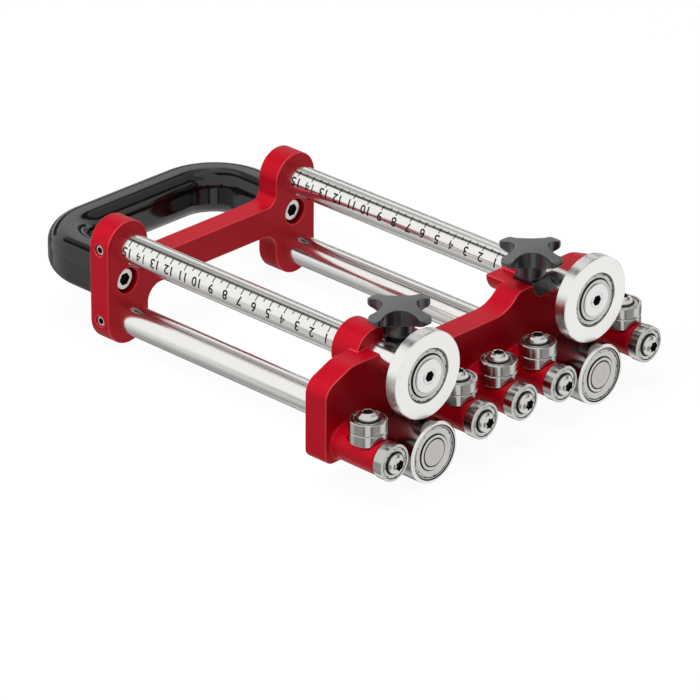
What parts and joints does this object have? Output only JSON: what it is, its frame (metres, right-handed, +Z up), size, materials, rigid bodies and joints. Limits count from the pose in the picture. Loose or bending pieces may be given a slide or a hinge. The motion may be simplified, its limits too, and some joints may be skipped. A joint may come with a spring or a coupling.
{
  "type": "disc sheet metal bender",
  "caption": "Hand bender for sheet edges: free-running discs over rollers on four guide rods, a sliding clamped depth stop with small guide bearings, and a D-shaped rear handle.",
  "frame": {"origin": "middle of the bounding box's underside, on the surface that the rollers stand on", "axes": "+Z up, +Y from the discs to the handle along the rods, +X to the right seen from the front"},
  "size_m": [0.207, 0.292, 0.0798],
  "materials": {
    "red_aluminium": "satin",
    "gloss_black": "gloss",
    "knob_grey": "matte",
    "brass": "turned",
    "ground_steel": "ground and polished",
    "turned_steel": "turned",
    "bearing_steel": "ground",
    "screw_steel": "satin"
  },
  "bodies": {
    "frame": {"rear_bridge": "red_aluminium", "handle": "gloss_black", "handle_inserts": "brass", "handle_screws": "screw_steel", "rod_set_screws": "screw_steel", "upper_rod_left": "ground_steel", "upper_rod_right": "ground_steel", "lower_rod_left": "ground_steel", "lower_rod_right": "ground_steel", "disc_cap_left": "turned_steel", "disc_cap_right": "turned_steel", "disc_inner_ring_left": "bearing_steel", "disc_inner_ring_right": "bearing_steel", "roller_inner_rings_left": "bearing_steel", "roller_inner_rings_right": "bearing_steel"},
    "carriage": {"carriage_body": "red_aluminium", "clamp_sleeves": "screw_steel", "arm_1": "red_aluminium", "arm_2": "red_aluminium", "arm_3": "red_aluminium", "arm_4": "red_aluminium", "arm_5": "red_aluminium", "arm_screws": "screw_steel", "front_screws": "screw_steel", "stack_screws": "screw_steel", "front_inner_rings": "bearing_steel", "stack_inner_rings": "bearing_steel"},
    "knob_left": {"knob_left": "knob_grey", "knob_stud_left": "screw_steel"},
    "knob_right": {"knob_right": "knob_grey", "knob_stud_right": "screw_steel"},
    "disc_left": {"disc_left": "turned_steel", "disc_outer_ring_left": "bearing_steel"},
    "roller_left": {"roller_left": "turned_steel", "roller_outer_rings_left": "bearing_steel"},
    "disc_right": {"disc_right": "turned_steel", "disc_outer_ring_right": "bearing_steel"},
    "roller_right": {"roller_right": "turned_steel", "roller_outer_rings_right": "bearing_steel"},
    "front_bearing_1": {"front_bearing_1": "bearing_steel"},
    "stack_1_lower": {"stack_1_lower": "bearing_steel"},
    "stack_1_upper": {"stack_1_upper": "bearing_steel"},
    "front_bearing_2": {"front_bearing_2": "bearing_steel"},
    "stack_2_lower": {"stack_2_lower": "bearing_steel"},
    "stack_2_upper": {"stack_2_upper": "bearing_steel"},
    "front_bearing_3": {"front_bearing_3": "bearing_steel"},
    "stack_3_lower": {"stack_3_lower": "bearing_steel"},
    "stack_3_upper": {"stack_3_upper": "bearing_steel"},
    "front_bearing_4": {"front_bearing_4": "bearing_steel"},
    "stack_4_lower": {"stack_4_lower": "bearing_steel"},
    "stack_4_upper": {"stack_4_upper": "bearing_steel"},
    "front_bearing_5": {"front_bearing_5": "bearing_steel"},
    "stack_5_lower": {"stack_5_lower": "bearing_steel"},
    "stack_5_upper": {"stack_5_upper": "bearing_steel"}
  },
  "joints": [
    {"name": "carriage_slide", "type": "slide", "parent": "frame", "child": "carriage", "axis": [0, 1, 0], "range_m": [0, 0.15]},
    {"name": "knob_left_turn", "type": "hinge", "parent": "carriage", "child": "knob_left", "pos_m": [-0.047, -0.10205, 0.0604], "axis": [0, 0, 1], "range_deg": [0, 360]},
    {"name": "knob_right_turn", "type": "hinge", "parent": "carriage", "child": "knob_right", "pos_m": [0.047, -0.10205, 0.0604], "axis": [0, 0, 1], "range_deg": [0, 360]},
    {"name": "disc_left_spin", "type": "hinge", "parent": "frame", "child": "disc_left", "pos_m": [-0.06, -0.13395, 0.0555], "axis": [0, 1, 0], "continuous": true},
    {"name": "roller_left_spin", "type": "hinge", "parent": "frame", "child": "roller_left", "pos_m": [-0.06, -0.13395, 0.016], "axis": [0, 1, 0], "continuous": true},
    {"name": "disc_right_spin", "type": "hinge", "parent": "frame", "child": "disc_right", "pos_m": [0.06, -0.13395, 0.0555], "axis": [0, 1, 0], "continuous": true},
    {"name": "roller_right_spin", "type": "hinge", "parent": "frame", "child": "roller_right", "pos_m": [0.06, -0.13395, 0.016], "axis": [0, 1, 0], "continuous": true},
    {"name": "front_bearing_1_spin", "type": "hinge", "parent": "carriage", "child": "front_bearing_1", "pos_m": [-0.0915, -0.13665, 0.023], "axis": [0, 1, 0], "continuous": true},
    {"name": "stack_1_lower_spin", "type": "hinge", "parent": "carriage", "child": "stack_1_lower", "pos_m": [-0.0915, -0.12445, 0.029], "axis": [0, 0, 1], "continuous": true},
    {"name": "stack_1_upper_spin", "type": "hinge", "parent": "carriage", "child": "stack_1_upper", "pos_m": [-0.0915, -0.12445, 0.029], "axis": [0, 0, 1], "continuous": true},
    {"name": "front_bearing_2_spin", "type": "hinge", "parent": "carriage", "child": "front_bearing_2", "pos_m": [-0.0285, -0.13665, 0.023], "axis": [0, 1, 0], "continuous": true},
    {"name": "stack_2_lower_spin", "type": "hinge", "parent": "carriage", "child": "stack_2_lower", "pos_m": [-0.0285, -0.12445, 0.029], "axis": [0, 0, 1], "continuous": true},
    {"name": "stack_2_upper_spin", "type": "hinge", "parent": "carriage", "child": "stack_2_upper", "pos_m": [-0.0285, -0.12445, 0.029], "axis": [0, 0, 1], "continuous": true},
    {"name": "front_bearing_3_spin", "type": "hinge", "parent": "carriage", "child": "front_bearing_3", "pos_m": [0, -0.13665, 0.023], "axis": [0, 1, 0], "continuous": true},
    {"name": "stack_3_lower_spin", "type": "hinge", "parent": "carriage", "child": "stack_3_lower", "pos_m": [0, -0.12445, 0.029], "axis": [0, 0, 1], "continuous": true},
    {"name": "stack_3_upper_spin", "type": "hinge", "parent": "carriage", "child": "stack_3_upper", "pos_m": [0, -0.12445, 0.029], "axis": [0, 0, 1], "continuous": true},
    {"name": "front_bearing_4_spin", "type": "hinge", "parent": "carriage", "child": "front_bearing_4", "pos_m": [0.0285, -0.13665, 0.023], "axis": [0, 1, 0], "continuous": true},
    {"name": "stack_4_lower_spin", "type": "hinge", "parent": "carriage", "child": "stack_4_lower", "pos_m": [0.0285, -0.12445, 0.029], "axis": [0, 0, 1], "continuous": true},
    {"name": "stack_4_upper_spin", "type": "hinge", "parent": "carriage", "child": "stack_4_upper", "pos_m": [0.0285, -0.12445, 0.029], "axis": [0, 0, 1], "continuous": true},
    {"name": "front_bearing_5_spin", "type": "hinge", "parent": "carriage", "child": "front_bearing_5", "pos_m": [0.0915, -0.13665, 0.023], "axis": [0, 1, 0], "continuous": true},
    {"name": "stack_5_lower_spin", "type": "hinge", "parent": "carriage", "child": "stack_5_lower", "pos_m": [0.0915, -0.12445, 0.029], "axis": [0, 0, 1], "continuous": true},
    {"name": "stack_5_upper_spin", "type": "hinge", "parent": "carriage", "child": "stack_5_upper", "pos_m": [0.0915, -0.12445, 0.029], "axis": [0, 0, 1], "continuous": true}
  ]
}
